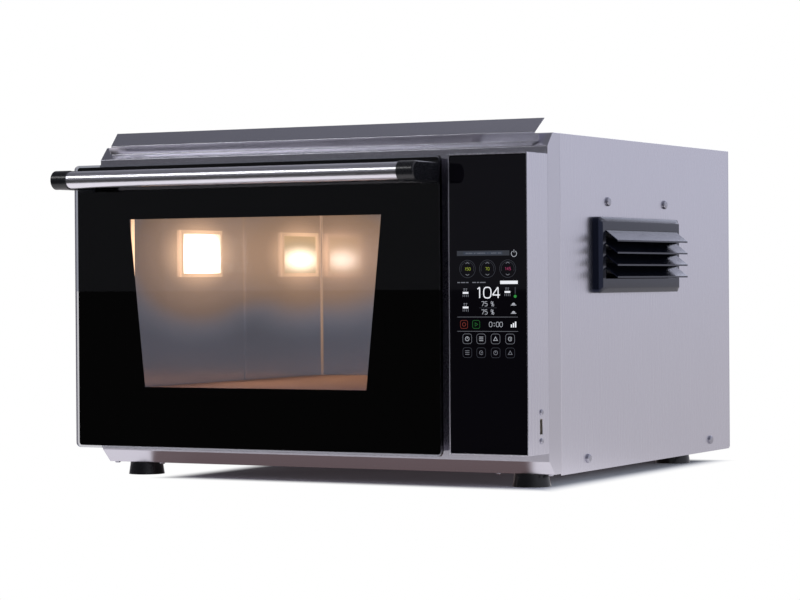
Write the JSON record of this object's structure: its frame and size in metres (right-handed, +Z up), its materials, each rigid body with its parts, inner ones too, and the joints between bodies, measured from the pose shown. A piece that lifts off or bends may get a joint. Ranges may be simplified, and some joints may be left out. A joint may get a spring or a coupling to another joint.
{
  "type": "electric pizza oven",
  "caption": "Countertop electric pizza oven with a drop-down window door, tube handle, lit chamber, baking stone, glass touch panel and side air vent.",
  "frame": {"origin": "on the surface that the oven stands on, under the middle of the whole oven's box", "axes": "+X to the right as seen from the front, +Y to the back, +Z up; the door faces -Y"},
  "size_m": [0.4714, 0.5132, 0.3126],
  "materials": {
    "brushed_stainless": "fine straight brushed",
    "chamber_stainless": "bright rolled sheet, slightly heat-toned",
    "galvanised_sheet": "dull zinc-coated sheet",
    "zinc_plated_steel": "bright zinc plating",
    "fan_aluminium": "mill finish",
    "motor_steel": "stacked laminations, varnished",
    "heater_sheath": "heat-darkened tube",
    "clear_glass": "clear toughened pane",
    "lamp_glass": "clear, lit from behind",
    "black_frit": "fired black border",
    "black_glass": "gloss black pane",
    "display_stack": "flat lit display",
    "circuit_board": "green solder mask",
    "black_moulding": "satin moulded",
    "white_moulding": "moulded",
    "foot_rubber": "moulded rubber",
    "gasket_silicone": "extruded",
    "ceramic": "unglazed",
    "fired_stone": "dry fired surface",
    "fibre_board": "pressed fibre",
    "plated_contacts": "nickel plated"
  },
  "bodies": {
    "root": {"arm_guides": "white_moulding", "baking_stone": "fired_stone", "base_rivets": "zinc_plated_steel", "base_tray": "galvanised_sheet", "board_parts": "black_moulding", "bottom_heater": "heater_sheath", "chamber_insulation": "fibre_board", "chamber_liner": "chamber_stainless", "control_glass": "black_glass", "control_housing": "brushed_stainless", "display_module": "display_stack", "door_gasket": "gasket_silicone", "door_sensor": "black_moulding", "fan_housing": "galvanised_sheet", "fan_motor": "motor_steel", "feet": "foot_rubber", "foot_screws": "zinc_plated_steel", "front_frame": "brushed_stainless", "heater_bushes": "ceramic", "heater_clips": "chamber_stainless", "hinge_brackets": "zinc_plated_steel", "hinge_screws": "zinc_plated_steel", "inlet_pins": "plated_contacts", "lamp_bezels": "chamber_stainless", "lamp_boxes": "galvanised_sheet", "lamp_bulbs": "lamp_glass", "lamp_glasses": "lamp_glass", "lamp_holders": "ceramic", "outer_cover": "brushed_stainless", "overheat_cutout": "plated_contacts", "panel_board": "circuit_board", "partition_wall": "galvanised_sheet", "power_board": "circuit_board", "power_inlet": "black_moulding", "rear_panel": "brushed_stainless", "rear_screws": "zinc_plated_steel", "side_screws": "zinc_plated_steel", "stone_rails": "chamber_stainless", "temperature_probes": "heater_sheath", "terminal_block": "white_moulding", "top_heater": "heater_sheath", "usb_screws": "zinc_plated_steel", "usb_socket": "plated_contacts", "vent_blades": "black_moulding", "vent_housing": "black_moulding", "visor": "brushed_stainless"},
    "door": {"door_outer_glass": "clear_glass", "door_frit": "black_frit", "door_pan": "brushed_stainless", "hinge_pins": "zinc_plated_steel", "door_arms": "zinc_plated_steel", "door_inner_glass": "clear_glass", "glass_clips": "galvanised_sheet", "handle_bar": "brushed_stainless", "handle_end_left": "black_moulding", "handle_end_right": "black_moulding", "handle_screws": "zinc_plated_steel", "door_magnet": "plated_contacts"},
    "fan_rotor": {"fan_impeller": "fan_aluminium", "fan_shaft": "zinc_plated_steel"}
  },
  "joints": [
    {"name": "door_hinge", "type": "hinge", "parent": "root", "child": "door", "pos_m": [-0.0492, -0.1772, 0.0392], "axis": [1, 0, 0], "range_deg": [0, 80], "stiffness_Nm_per_rad": 1.6, "springref_deg": -34.38},
    {"name": "fan_spin", "type": "hinge", "parent": "root", "child": "fan_rotor", "pos_m": [0.1747, -0.0622, 0.2016], "axis": [0, 1, 0], "continuous": true}
  ]
}
